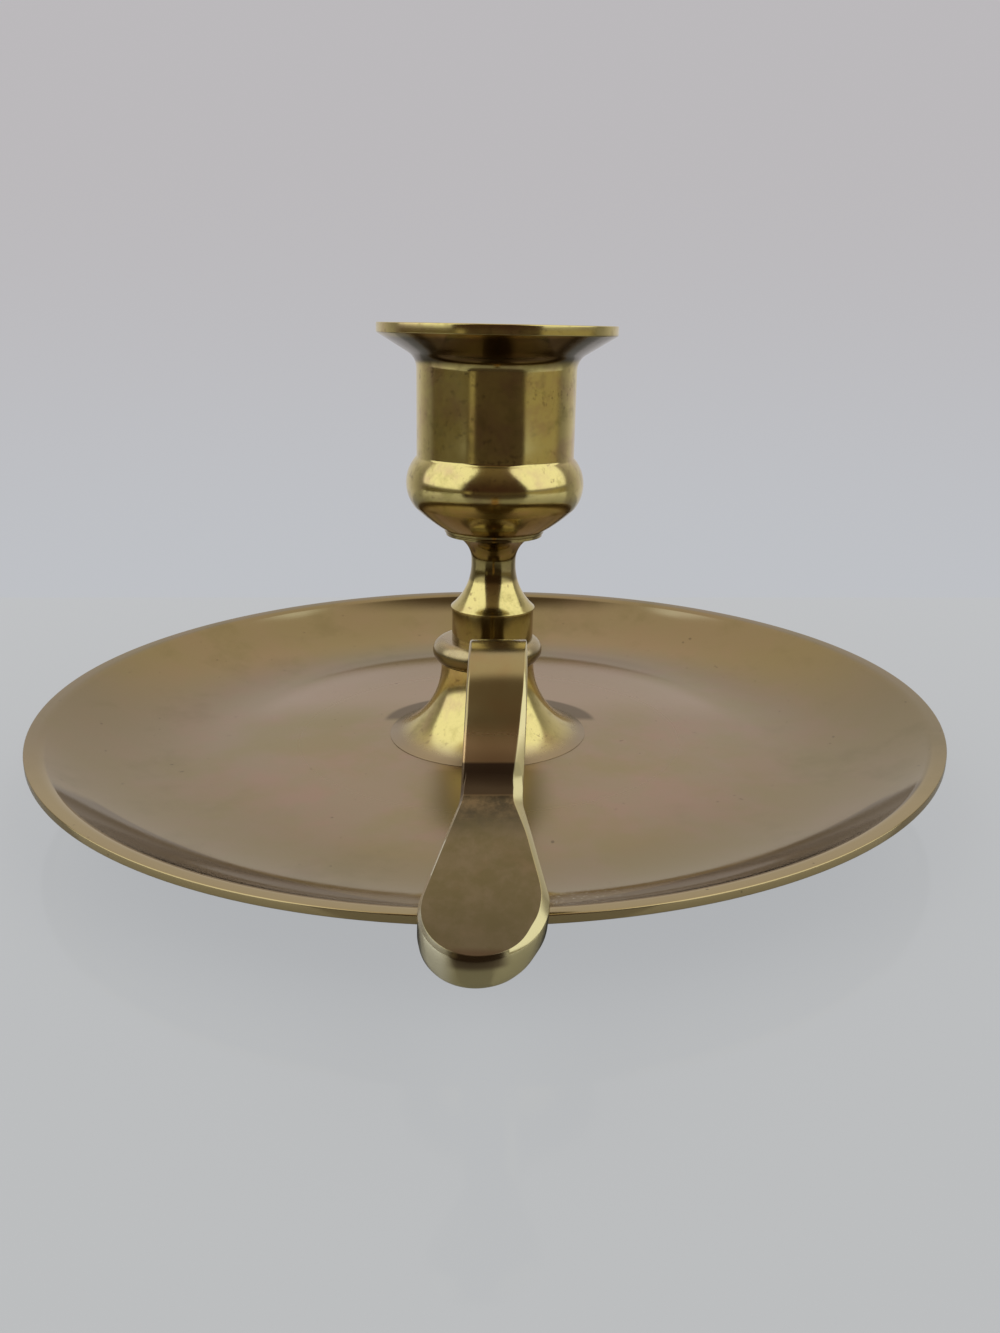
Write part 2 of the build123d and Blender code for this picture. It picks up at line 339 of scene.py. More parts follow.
pan_section = Outline(screw_hole, floor_top)
pan_section.line(seat_radius, floor_top, 0, 2)
pan_section.line(floor_radius, floor_edge, 0, 12)
pan_section.arc(band_start.x, band_start.y, -wall_bow, band_round, radians(0.7))
pan_section.line(pan_radius, rim_height, rim_round, 3)
pan_section.line(pan_radius, rim_height - pan_wall, rim_round)
pan_section.line(under_end.x, under_end.y, under_round)
pan_section.arc(floor_radius, floor_edge - pan_wall, wall_bow, 0, radians(1.5))
pan_section.line(foot_ring_radius, under, 0)
pan_section.line(foot_ring_radius, 0, foot_ring_round)
pan_section.line(ring_inner, 0, foot_ring_round)
pan_section.line(ring_inner, under, 0)
pan_section.line(screw_hole, under, 0)
pan_section.line(screw_hole, floor_top, 0)
drip_pan = turned("drip_pan_dished", pan_section.points()[:-1], 288)
rim_growth = 0.4 * mm
rim_shift = -0.4 * mm
front_sag = 0.65 * mm
warp_start = 30 * mm
sag_start = -20 * mm
for vertex in drip_pan.data.vertices:
    reach = hypot(vertex.co.x, vertex.co.y)
    outer = ease(reach, warp_start, pan_radius)
    front = ease(-vertex.co.y, sag_start, pan_radius)
    grown = 1 + rim_growth * outer / max(reach, mm)
    vertex.co.x = vertex.co.x * grown + rim_shift * outer
    vertex.co.y *= grown
    vertex.co.z -= front_sag * front * ease(reach, foot_ring_radius + mm, pan_radius)
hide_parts("drip_pan")
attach(drip_pan, "root")

pan_tan = (0.43, 0.325, 0.215, 1)
pan_pink = (0.47, 0.31, 0.225, 1)
pan_olive = (0.38, 0.315, 0.145, 1)
pan_wall_gold = (0.305, 0.24, 0.13, 1)
pan_painted_shade = (0.17, 0.125, 0.075, 1)
pan_stain_and_shade = (0.22, 0.18, 0.08, 1)
pan_dust = (0.80, 0.76, 0.66, 1)
rim_painted_highlight = (0.56, 0.435, 0.215, 1)
pan_painted_light = (0.52, 0.40, 0.30, 1)
pan_speck = (0.10, 0.07, 0.04, 1)
pan_edge_tint = (0.955, 0.935, 0.905, 1)
wall_zone = (30 * mm, 72 * mm)
pale_back, pale_outer = (4 * mm, 20 * mm), (42 * mm, 48 * mm)
shade_side, shade_front = (6.5 * mm, 11 * mm), ((16.5 * mm, 19 * mm), (30 * mm, 42 * mm))
crescent_edge, crescent_front = (61.7 * mm, 62.4 * mm), (36 * mm, 39 * mm)
crescent_middle, crescent_half, crescent_rise = 30 * mm, 26 * mm, 5.5 * mm
rim_zone = (pan_radius - 2.4 * mm, pan_radius - 1.9 * mm)
rim_front = (15 * mm, 50 * mm)
lee_flatness, lee_centre = 1.35, 7 * mm
lee_edge, lee_back = (18.4 * mm, 19.6 * mm), (4.5 * mm, 7 * mm)
wall_foot_back, wall_foot_widening = (22 * mm, 46 * mm), 4 * mm
wall_foot_inner, wall_foot_outer = (46 * mm, 48 * mm), (47 * mm, 50 * mm)
dust_reach = ((59 * mm, 61 * mm), (66 * mm, 70 * mm))
dust_across = ((4 * mm, 8 * mm), (13 * mm, 20 * mm))
worn_reach = (26 * mm, floor_radius + 8 * mm)

finish = Finish("pan_brass_satin")
x, y, z = finish.axes()
forward = 0 - y
across = finish.math_of("ABSOLUTE", x)
reach = (x * x + y * y) ** 0.5
blotch = finish.step(finish.noise(14 * mm, 6, 0.65), 0.42, 0.62)
cloud = finish.step(finish.noise(26 * mm, 5, 0.6, seed=3.0), 0.42, 0.60)
stain = finish.step(finish.noise(17 * mm, 5, 0.65, seed=8.0), 0.52, 0.68)
speck = finish.step(finish.noise(1.1 * mm, 1, 0.5, seed=5.0), 0.74, 0.80)
dust = finish.step(finish.noise(0.6 * mm, 2, 0.7, seed=12.0), 0.56, 0.64)
grain = finish.noise(0.7 * mm, 2, 0.6)
marks = lathe_marks(finish, reach, 0.35 * mm)

on_wall = finish.step(reach, *wall_zone)
wear_and_highlight = 1 - finish.step(reach, *worn_reach)
# Painted light: the floor just behind the stem is lighter.
pale = finish.step(y, *pale_back) * (1 - finish.step(reach, *pale_outer))
# Painted shade of the handle on the floor in front of the trumpet foot, in the stain colour.
shaded = (1 - finish.step(across, *shade_side)) * finish.between(forward, *shade_front)
# Painted shade: dark crescents inside the front wall, to the left and right of the handle.
bend = (across - crescent_middle) / crescent_half
crescent_shade = finish.step(reach - bend * bend * crescent_rise, *crescent_edge)
crescent_shade = crescent_shade * finish.step(forward, *crescent_front)
# Painted highlight: a gold band along the inside of the front rim.
rim = finish.step(reach, *rim_zone)
# Painted shadow: a dark patch on the floor just behind the trumpet foot.
from_lee = y * lee_flatness - lee_centre
foot_shadow = 1 - finish.step((x * x + from_lee * from_lee) ** 0.5, *lee_edge)
# Painted shade: a dark arc behind the stem where the floor meets the wall.
behind = finish.step(y, *wall_foot_back)
wall_foot_shade = behind * finish.step(reach, *wall_foot_inner)
wall_foot_shade = wall_foot_shade * (1 - finish.step(reach - behind * wall_foot_widening, *wall_foot_outer))
dusty = finish.between(reach, *dust_reach) * finish.between(x, *dust_across)
dust = dust * dusty * finish.step(forward, 0, mm) * 0.6

colour = finish.mix(blotch * 0.8, pan_tan, pan_pink)
colour = finish.mix(cloud * 0.65, colour, pan_olive)
colour = finish.mix(on_wall * 0.8, colour, pan_wall_gold)
colour = finish.mix(stain * on_wall * 0.35, colour, pan_stain_and_shade)
# Painted light on the floor behind the stem.
colour = finish.mix(pale * 0.75, colour, pan_painted_light)
# Painted shade in front of the trumpet foot.
colour = finish.mix(shaded * 0.55, colour, pan_stain_and_shade)
# Painted shade in the crescents inside the front wall.
colour = finish.mix(crescent_shade * (1 - rim) * 0.8, colour, pan_painted_shade)
# Painted highlight on the front rim.
colour = finish.mix(rim * finish.step(forward, *rim_front) * 0.65, colour, rim_painted_highlight)
colour = finish.mix(speck * 0.5, colour, pan_speck)
# Painted shadow behind the trumpet foot.
colour = finish.mix(foot_shadow * finish.step(y, *lee_back) * 0.9, colour, pan_painted_shade)
# Painted shade at the foot of the back wall.
colour = finish.mix(wall_foot_shade * 0.3, colour, pan_painted_shade)
colour = finish.mix(dust, colour, pan_dust)
finish.set(
    Base_Color=colour,
    Metallic=1 - dust,
    Specular_Tint=pan_edge_tint,
    Roughness=0.07 + wear_and_highlight * 0.24 + (blotch * 0.04 + marks * 0.02) * on_wall,
    Normal=finish.bump(marks * 0.4 + grain * 0.3, 0.12, 0.05 * mm),
)
drip_pan.data.materials.append(finish.material)

# Trumpet foot: the flared base of the stem, turned from a casting and hollow below, polished and
# lightly toned. It stands on the pan's floor and is clamped there by the screw that runs up into
# the stem. The stem's pieces stand a little out of true, as on the old one.
foot_low, foot_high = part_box("trumpet_foot")
lean = radians(1.05)
stem_shift = 0.24 * mm
foot_shift = -0.3 * mm
stem_lift = 0.7 * mm
collar_cut = 0.45 * mm
foot_hole = 2.85 * mm
trumpet_top_radius = 8.0 * mm
trumpet_edge = 0.04 * mm
trumpet_flare = 13.3 * mm
trumpet_wall = 1.9 * mm
trumpet_seat = 1.6 * mm
trumpet_boss = 3.5 * mm
trumpet_edge_round = 0.01 * mm
trumpet_dull_edge = 16.5 * mm


def stem_piece(name, node, section, sides=192, turn=lean, shift=stem_shift):
    """A turned piece of the stem that takes a node's place, leaned by turn and shifted sideways."""
    piece = turned(name, section.points()[:-1], sides)
    for vertex in piece.data.vertices:
        x, rise = vertex.co.x, vertex.co.z - foot_low.z
        vertex.co.x = shift + x * cos(turn) + rise * sin(turn)
        vertex.co.z = foot_low.z + rise * cos(turn) - x * sin(turn)
    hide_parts(node)
    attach(piece, "root")
    return piece


hollow_top = foot_high.z - trumpet_boss
foot_top = foot_high.z + stem_lift + collar_cut
section = Outline(foot_hole, hollow_top)
section.line(foot_hole, foot_top)
section.line(trumpet_top_radius, foot_top)
section.arc(foot_high.x, foot_low.z + trumpet_edge, -trumpet_flare, trumpet_edge_round, radians(2))
section.line(foot_high.x, foot_low.z)
section.line(foot_high.x - trumpet_seat, foot_low.z)
section.arc(trumpet_top_radius - trumpet_wall, hollow_top, trumpet_flare)
section.line(foot_hole, hollow_top)
trumpet_foot = stem_piece("trumpet_foot_turned", "trumpet_foot", section, turn=0, shift=foot_shift)

brass_gold = (0.68, 0.56, 0.22, 1)
brass_pink = (0.52, 0.34, 0.20, 1)
brass_olive = (0.36, 0.29, 0.09, 1)
brass_brown = (0.16, 0.09, 0.04, 1)
brass_tarnish_and_shade = (0.16, 0.12, 0.045, 1)
brass_painted_shade = (0.06, 0.045, 0.03, 1)
brass_dull = (0.40, 0.31, 0.20, 1)
dull_width = 4 * mm
back_shade = (2 * mm, 6 * mm)
zone_blur = 0.4 * mm


def polished_brass(name, toning, dull=0.0, edge=0.0, dark_zones=()):
    """Turned brass, once polished: gold with pink and olive toning, smears and fine tool rings.

    Surfaces that face down are darkened as painted shade, and so are the given zones of height,
    some of them painted shade. Near the radius edge it is as dull as the pan, with painted shade at
    the back.
    """
    finish = Finish(name)
    x, y, z = finish.axes()
    patch = finish.step(finish.noise(6 * mm, 4, 0.6, seed=1.0), 0.46, 0.68)
    stain = finish.step(finish.noise(3.5 * mm, 5, 0.65, seed=7.0), 0.50, 0.70)
    colour = finish.mix(patch * toning, brass_gold, brass_pink)
    colour = finish.mix(stain * toning, colour, brass_olive)
    wear_and_highlight = finish.step(finish.noise(9 * mm, 2, 0.5, seed=9.0), 0.45, 0.60)
    fleck = finish.step(finish.noise(1.0 * mm, 3, 0.6, seed=2.0), 0.55, 0.68)
    colour = finish.mix(fleck * wear_and_highlight * 0.5, colour, brass_brown)
    # Painted shade: surfaces that face down are darkened.
    facing = finish.node("ShaderNodeNewGeometry", {}, (), "Normal")
    upwards = finish.node("ShaderNodeSeparateXYZ", {}, (facing,), "Z")
    under = finish.step(0 - upwards, 0.05, 0.55)
    colour = finish.mix(under * 0.75, colour, brass_tarnish_and_shade)
    if edge:
        dull = finish.step((x * x + y * y) ** 0.5, edge - dull_width, edge)
    colour = finish.mix(dull, colour, brass_dull)
    # Painted shade: the flare's dull edge zone is darkened at the back.
    if edge:
        colour = finish.mix(dull * finish.step(y, *back_shade) * 0.8, colour, brass_tarnish_and_shade)
    # Bands of height darkened towards a tone; each piece says which of them are painted shade.
    for low, high, share, tone in dark_zones:
        rise = (low - zone_blur, low + zone_blur)
        zone = finish.between(z, rise, (high - zone_blur, high + zone_blur))
        colour = finish.mix(zone * share, colour, tone)
    marks = lathe_marks(finish, z, 0.25 * mm)
    smear = finish.noise(4 * mm, 5, 0.7, seed=4.0)
    finish.set(
        Base_Color=colour,
        Metallic=1.0,
        Roughness=0.08 + smear * 0.12 + stain * 0.05 + dull * 0.16,
        Normal=finish.bump(marks, 0.10, 0.02 * mm),
    )
    return finish.material


foot_brass = polished_brass("foot_brass_polished", 0.5, edge=trumpet_dull_edge)
trumpet_foot.data.materials.append(foot_brass)

# Collar ring: a loose half-round bead, turned from rod, dull and darker on its lower half.
# It sits between the trumpet foot and the stem and is held by their clamping.
collar_low, collar_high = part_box("collar_ring")
collar_under = collar_low.z + stem_lift + collar_cut
collar_top = collar_high.z + stem_lift
bead = (collar_top - collar_under) / 2
section = Outline(foot_hole, collar_under)
section.line(foot_hole, collar_top)
section.line(collar_high.x - bead, collar_top)
section.arc(collar_high.x, collar_under + bead, bead)
section.arc(collar_high.x - bead, collar_under, bead)
section.line(foot_hole, collar_under)
collar_ring = stem_piece("collar_ring_turned", "collar_ring", section, turn=0, shift=foot_shift)
collar_darker_below = ((collar_under - mm, collar_under + bead * 1.3, 0.85, brass_tarnish_and_shade),)
collar_ring.data.materials.append(polished_brass("collar_brass_dull", 0.7, 0.7, dark_zones=collar_darker_below))

# Baluster stem: one turned piece with a drum, a cone, a waisted neck and a flange under the cup.
# The tie screw ends in its lower hole, and its upper tenon screws into the cup.
stem_low, stem_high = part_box("baluster_stem")
drum_radius = 6.95 * mm
drum_height = 5.6 * mm
drum_lip = 0.2 * mm
drum_lip_height = 0.3 * mm
neck_radius = 3.75 * mm
cone_height = 7.4 * mm
neck_height = 0.7 * mm
neck_curve = 4.3 * mm
flange_height = 0.5 * mm
tenon_radius = 3.0 * mm
screw_socket = 8.05 * mm
screw_bore = 3.25 * mm
drum_sink = 0.15 * mm
drum_round = 0.1 * mm
flange_round = 0.2 * mm
drum_lip_round = 0.06 * mm
cone_shade_reach = 2.6 * mm
drum_foot = stem_low.z + stem_lift - drum_sink
drum_top = stem_low.z + stem_lift + drum_height
neck_low = drum_top + cone_height
neck_high = neck_low + neck_height
flange_under = neck_high + neck_curve
cup_seat = flange_under + flange_height
cone_radius = drum_radius + drum_lip
cone_turn = 2 * atan((cone_radius - neck_radius) / cone_height)
cone_bow = cone_height / sin(cone_turn)
section = Outline(0, stem_low.z + screw_socket)
section.line(screw_bore, stem_low.z + screw_socket)
section.line(screw_bore, drum_foot)
section.line(drum_radius, drum_foot, drum_round)
section.line(drum_radius, drum_top - drum_lip_height)
section.line(cone_radius, drum_top - drum_lip_height, drum_lip_round)
section.line(cone_radius, drum_top, drum_round)
section.arc(neck_radius, neck_low, cone_bow)
section.line(neck_radius, neck_high)
section.arc(neck_radius + neck_curve, flange_under, neck_curve)
section.line(neck_radius + neck_curve, cup_seat, flange_round)
section.line(tenon_radius, cup_seat)
section.line(tenon_radius, stem_high.z)
section.line(0, stem_high.z)
section.line(0, stem_low.z + screw_socket)
# The drum is darker; the top of the cone, the waist and the flange under the cup carry painted
# shade.
stem_dark_and_shade = (
    (drum_foot - mm, drum_top - drum_lip_height, 0.65, brass_tarnish_and_shade),
    (neck_low - cone_shade_reach, cup_seat + mm, 0.75, brass_tarnish_and_shade),
)
baluster_stem = stem_piece("baluster_stem_turned", "baluster_stem", section)
baluster_stem.data.materials.append(polished_brass("stem_brass_polished", 0.5, dark_zones=stem_dark_and_shade))

# Candle cup: a turned cup with a bowl, a straight barrel and a flared lip, for a 22 mm candle.
# It is tapped underneath and screws down on the stem's tenon.
cup_low, cup_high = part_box("candle_cup")
lip_radius = cup_high.x
cup_top = cup_high.z
seat_radius_cup = 8.3 * mm
seat_edge = 0.4 * mm
barrel_radius = 12.93 * mm
bowl_edge = Vector((13.4 * mm, cup_low.z + 4.3 * mm))
bowl_middle = Vector((14.66 * mm, cup_low.z + 7.9 * mm))
barrel_foot = cup_low.z + 12.4 * mm
bowl_under = 26 * mm
lip_edge = 1.5 * mm
lip_slope = radians(31)
lip_flat = 1.0 * mm
cup_foot_round = 0.08 * mm
seat_round = 0.05 * mm
bowl_edge_round = 0.12 * mm
bowl_blend = 0.6 * mm
flare_blend = 2.8 * mm
lip_rounds = (0.25 * mm, 0.15 * mm, 0.3 * mm)
mouth_blend = 5.0 * mm
socket_cone = 1.4 * mm
cup_foot_grime = 0.6 * mm
lip_shade_band = (5.6 * mm, 0.3 * mm)
socket_radius = 11.2 * mm
mouth_drop = 3.6 * mm
socket_bottom = cup_low.z + 7.2 * mm
tenon_bore = 3.05 * mm
tenon_bore_top = cup_low.z + 4.65 * mm


def circle_radius(a, b, c):
    """Radius of the circle through three points."""
    area = abs((b - a).x * (c - a).y - (b - a).y * (c - a).x) / 2
    return (a - b).length * (b - c).length * (c - a).length / (4 * area)


bowl_bow = circle_radius(bowl_edge, bowl_middle, Vector((barrel_radius, barrel_foot)))
slope_start = cup_top - lip_edge - (lip_radius - barrel_radius) * tan(lip_slope)
section = Outline(0, tenon_bore_top)
section.line(tenon_bore, tenon_bore_top)
section.line(tenon_bore, cup_low.z)
section.line(seat_radius_cup, cup_low.z, cup_foot_round)
section.line(seat_radius_cup, cup_low.z + seat_edge, seat_round)
section.arc(bowl_edge.x, bowl_edge.y, -bowl_under, bowl_edge_round, radians(1.5))
section.arc(barrel_radius, barrel_foot, -bowl_bow, bowl_blend)
section.line(barrel_radius, slope_start, flare_blend, 6)
section.line(lip_radius, cup_top - lip_edge, lip_rounds[0], 3)
section.line(lip_radius, cup_top, lip_rounds[1])
section.line(lip_radius - lip_flat, cup_top, lip_rounds[2])
section.line(socket_radius, cup_top - mouth_drop, mouth_blend, 4)
section.line(socket_radius, socket_bottom, 0, 6)
section.line(0, socket_bottom - socket_cone, 0, 4)
section.line(0, tenon_bore_top)
candle_cup = stem_piece("candle_cup_turned", "candle_cup", section, 224)
# A dark joint at the cup's foot, and painted shade on the flare under the lip.
cup_joint_and_lip_shade = (
    (cup_low.z - mm, cup_low.z + cup_foot_grime, 0.8, brass_tarnish_and_shade),
    (cup_top - lip_shade_band[0], cup_top - lip_edge - lip_shade_band[1], 0.88, brass_painted_shade),
)
candle_cup.data.materials.append(polished_brass("cup_brass_polished", 0.6, dark_zones=cup_joint_and_lip_shade))

# Finger loop: one brass casting, filed and polished, riveted to the pan wall. Its strap makes a
# closed oval for the finger, and a flat thumb rest with a round end runs outwards and down from it.
# It leans a little to the right.
loop_reach = 62.5 * mm
loop_bottom = 7.5 * mm
loop_radius = 14 * mm
loop_straight = 3.4 * mm
strap_width = 6.6 * mm
strap_thickness = 3 * mm
strap_round = 0.35 * mm
strap_bevel = 1.1 * mm
strap_least_bevel = 0.2 * mm
strap_edge = 0.05 * mm
strap_bevel_heights = (24 * mm, 40 * mm)
loop_foot_top = 12 * mm
loop_foot_width = 10 * mm
loop_foot_length = 16 * mm
loop_foot_corner = 3 * mm
loop_foot_round = 0.8 * mm
thumb_root_height = 26.96 * mm
thumb_slope = tan(radians(19))
thumb_thickness = 3.45 * mm
thumb_radius = 6.25 * mm
thumb_reach = 97.3 * mm
neck_reach = 77.6 * mm
neck_round = 6 * mm
root_reach = 75.2 * mm
root_fillet = 3.6 * mm
loop_lean = 0.0515
loop_lean_start = 6 * mm
thumb_turn = 0.027
thumb_skew = 0.08
thumb_skew_reach = (84 * mm, 92 * mm)
bevel_narrows, bevel_widens, bevel_ends = (77 * mm, 83 * mm), (88 * mm, 92 * mm), (94 * mm, 97 * mm)
under_cut_reach = (88 * mm, 93 * mm)
left_bevel = 0.35 * mm
low_middle = loop_bottom + loop_radius
high_middle = low_middle + loop_straight
outer_reach = loop_reach + loop_radius


def wall_top(radius):
    """Height of the dished pan's upper surface at a radius on its wall."""
    run = radius - floor_radius - wall_bow * sin(floor_slope)
    return floor_edge + wall_bow * cos(floor_slope) - (wall_bow**2 - run**2) ** 0.5


def handle_place(across, reach, height):
    """The place of a point of the handle, with its lean, small turn and skewed thumb rest."""
    outside = max(0.0, reach - outer_reach)
    along = reach - across * thumb_skew * ease(reach, *thumb_skew_reach)
    over = (height - loop_lean_start) * loop_lean - outside * thumb_turn
    return (across + over, -along, height)


def loft(name, rings, closed_path, caps=True):
    """A mesh through rings of as many points each, closed on itself or ending in flat caps."""
    count = len(rings[0])
    verts = [point for ring in rings for point in ring]
    faces = []
    steps = len(rings) if closed_path else len(rings) - 1
    for k in range(steps):
        low = k * count
        high = (k + 1) % len(rings) * count
        for n in range(count):
            m = (n + 1) % count
            faces.append((low + n, low + m, high + m, high + n))
    if not closed_path and caps:
        faces.append(tuple(range(count))[::-1])
        faces.append(tuple(range(len(verts) - count, len(verts))))
    mesh = bpy.data.meshes.new(name)
    mesh.from_pydata(verts, [], faces)
    return mesh


def strap_section(bevel):
    """The strap's section as (across, outwards) points, with a bevel at the outer right corner."""
    half = strap_width / 2
    thick = strap_thickness
    soft = strap_round
    corners = [
        ((-half, 0), soft), ((half, 0), soft), ((half, thick - bevel * 0.7), soft * 0.5),
        ((half - bevel, thick), soft * 0.5), ((-half, thick), soft),
    ]
    points = []
    for number, (corner, cut) in enumerate(corners):
        corner = Vector(corner)
        before = Vector(corners[number - 1][0])
        after = Vector(corners[(number + 1) % len(corners)][0])
        cut = min(cut, 0.45 * (before - corner).length, 0.45 * (after - corner).length)
        into = corner + (before - corner).normalized() * cut
        out = corner + (after - corner).normalized() * cut
        for k in range(5):
            t = k / 4
            points.append(into * (1 - t) ** 2 + corner * 2 * t * (1 - t) + out * t * t)
    return points


rings = []
stations = []
bow_steps, straight_steps = 64, 8
for k in range(bow_steps):
    stations.append((loop_reach, high_middle, pi * k / bow_steps))
for k in range(straight_steps):
    stations.append((loop_reach, high_middle - loop_straight * k / straight_steps, pi))
for k in range(bow_steps):
    stations.append((loop_reach, low_middle, pi + pi * k / bow_steps))
for k in range(straight_steps):
    stations.append((loop_reach, low_middle + loop_straight * k / straight_steps, 2 * pi))
for reach, height, turn in stations:
    out = Vector((cos(turn), sin(turn)))
    low_share = 1 - ease(height + out.y * loop_radius, *strap_bevel_heights)
    bevel = strap_least_bevel + strap_bevel * low_share
    bevel = bevel * ease(out.x, -0.2, 0.3) + strap_edge
    ring = []
    for across, outwards in strap_section(bevel):
        far = loop_radius - strap_thickness + outwards
        ring.append(handle_place(across, reach + out.x * far, height + out.y * far))
    rings.append(ring)
strap = loft("strap", rings, True)

outline = Outline(strap_width / 2 - 0.2 * mm, root_reach)
outline.line(strap_width / 2 - 0.1 * mm, outer_reach - 0.4 * mm, 0, 4)
outline.line(strap_width / 2, outer_reach + 0.1 * mm, 0, 2)
neck_run = thumb_reach - thumb_radius - neck_reach
flare = asin(thumb_radius / hypot(neck_run, strap_width / 2)) - atan(strap_width / 2 / neck_run)
outline.line(strap_width / 2, neck_reach, neck_round, 3)
end_middle = thumb_reach - thumb_radius
outline.line(thumb_radius * cos(flare), end_middle - thumb_radius * sin(flare), 0, 16)
outline.arc(0, thumb_reach, -thumb_radius)
right_side = outline.points(10)


def plane_height(reach):
    """Height of the thumb rest's flat top."""
    return thumb_root_height - (reach - outer_reach) * thumb_slope


slope_cos = 1 / hypot(1, thumb_slope)
slope_sin = thumb_slope * slope_cos
gap = Vector((outer_reach + slope_sin * root_fillet - loop_reach,
              thumb_root_height + slope_cos * root_fillet - high_middle))
way = Vector((slope_cos, -slope_sin))
apart = loop_radius + root_fillet - 0.01 * mm
slide = -gap.dot(way) + (gap.dot(way) ** 2 - gap.dot(gap) + apart**2) ** 0.5
fillet_middle = Vector((loop_reach, high_middle)) + gap + way * slide
fillet_start = fillet_middle.x - root_fillet * 0.99


def top_height(reach):
    """Height of the thumb rest's top, which sweeps up into the strap in a hollow curve."""
    if reach > fillet_middle.x - slope_sin * root_fillet:
        return plane_height(reach)
    run = fillet_middle.x - max(reach, fillet_start)
    return fillet_middle.y - (root_fillet**2 - run**2) ** 0.5


def inset_outline(inset):
    """The plan outline from the root round the tip and back, moved in by inset(reach, side)."""
    points = []
    for side in (1, -1):
        for k, (x, reach) in enumerate(right_side):
            a = Vector(right_side[max(0, k - 1)])
            b = Vector(right_side[min(len(right_side) - 1, k + 1)])
            inwards = Vector((-(b - a).y, (b - a).x)).normalized()
            if k == len(right_side) - 1:
                inwards = Vector((0, -1))
            depth = inset(reach, side)
            points.append((side * max(0.0, x + inwards.x * depth), reach + inwards.y * depth))
    right, left = points[:len(right_side)], points[len(right_side):]
    return right + left[-2::-1]


def thumb_ring(cut, lower, from_top):
    """A ring of the thumb rest, cut back by cut.

    It is sunk by lower(reach, side) under the top, or raised by lower over the underside.
    """
    ring = []
    for x, reach in inset_outline(cut):
        if from_top:
            depth = lower(reach, 1 if x > 0 else -1)
            lean_out = min(1.0, max(slope_sin, (fillet_middle.x - reach) / root_fillet))
            height = top_height(reach) - depth * (1 - lean_out**2) ** 0.5
            reach -= depth * lean_out
        else:
            height = plane_height(reach) - thumb_thickness + lower
        ring.append(handle_place(x, reach, height))
    return ring


def bevel_cut(reach, side):
    """How far the flat top is cut back. On the right it carries on the strap's wide bevel."""
    if side < 0:
        return left_bevel
    wide = 1.1 - 0.4 * ease(reach, *bevel_narrows) + 0.25 * ease(reach, *bevel_widens)
    return (wide - 0.6 * ease(reach, *bevel_ends)) * mm


def bevel_depth(reach, side):
    """How deep the bevel goes."""
    return max(0.45 * mm, bevel_cut(reach, side) * 0.7)


def under_cut(reach, side):
    """How far the underside is cut back. The right front is cut away more."""
    if side < 0:
        return 0.4 * mm
    more = ease(reach, *under_cut_reach) * (1 - ease(reach, *bevel_ends))
    return (0.4 + 0.5 * more) * mm


def scaled(amount, share, extra=0.0):
    """A share of amount(reach, side), plus an extra."""
    return lambda reach, side: amount(reach, side) * share + extra


# From the edge of the flat top over the bevel and down the side to the flat underside.
rings = [
    thumb_ring(scaled(bevel_cut, 1.1), scaled(bevel_depth, 0), True),
    thumb_ring(bevel_cut, scaled(bevel_depth, 0), True),
    thumb_ring(scaled(bevel_cut, 0.93), scaled(bevel_depth, 0.03), True),
    thumb_ring(scaled(bevel_cut, 0, 0.08 * mm), scaled(bevel_depth, 0.9), True),
    thumb_ring(scaled(bevel_cut, 0), scaled(bevel_depth, 1, 0.1 * mm), True),
    thumb_ring(scaled(under_cut, 0.15), 1.0 * mm, False),
    thumb_ring(scaled(under_cut, 0.5), 0.35 * mm, False),
    thumb_ring(under_cut, 0.05 * mm, False),
    thumb_ring(scaled(under_cut, 1.3), 0, False),
]
thumb = loft("thumb", rings, False, False)
work = bmesh.new()
work.from_mesh(thumb)
work.verts.ensure_lookup_table()
count = len(rings[0])
last = (len(rings) - 1) * count
for start, way in ((0, 1), (last, -1)):
    for k in range((count - 1) // 2):
        corners = [start + k, start + k + 1, start + count - 2 - k, start + count - 1 - k]
        corners = list(dict.fromkeys(corners))
        work.faces.new([work.verts[n] for n in corners[::way]])
work.to_mesh(thumb)
work.free()


def foot_outline(inset):
    """The foot's plan outline as (across, along) points from its middle, moved inwards by inset."""
    points = []
    soft = loop_foot_corner - inset
    for corner in range(4):
        side = 1 if corner in (0, 3) else -1
        end = 1 if corner in (0, 1) else -1
        for k in range(7):
            turn = pi / 2 * (corner + k / 6)
            x = side * (loop_foot_width / 2 - loop_foot_corner) + soft * cos(turn)
            y = end * (loop_foot_length / 2 - loop_foot_corner) + soft * sin(turn)
            points.append((x, y))
    return points


foot_rings = []
for k in range(6):
    turn = pi / 2 * k / 5
    inset = loop_foot_round * (1 - sin(turn))
    height = loop_foot_top - loop_foot_round * (1 - cos(turn))
    foot_rings.append([handle_place(x, loop_reach + y, height) for x, y in foot_outline(inset)])
for share in (1.0, 0.75, 0.5, 0.25, 0.05):
    ring = []
    for x, y in foot_outline(0):
        reach = loop_reach + y * share
        ring.append(handle_place(x * share, reach, wall_top(hypot(x * share, reach)) - 0.1 * mm))
    foot_rings.append(ring)
foot = loft("foot", foot_rings, False)


def joined(name, meshes):
    """One closed piece from overlapping closed meshes."""
    names = [name if not k else f"{name}_{k}" for k in range(len(meshes))]
    parts = [finished_piece(*pair) for pair in zip(names, meshes)]
    whole = parts[0]
    for part in parts[1:]:
        join = whole.modifiers.new("join", "BOOLEAN")
        join.operation = "UNION"
        join.solver = "EXACT"
        join.object = part
    bpy.context.view_layer.update()
    shape = whole.evaluated_get(bpy.context.evaluated_depsgraph_get())
    mesh = bpy.data.meshes.new_from_object(shape)
    for part in parts:
        bpy.data.objects.remove(part)
    return finished_piece(name, mesh)


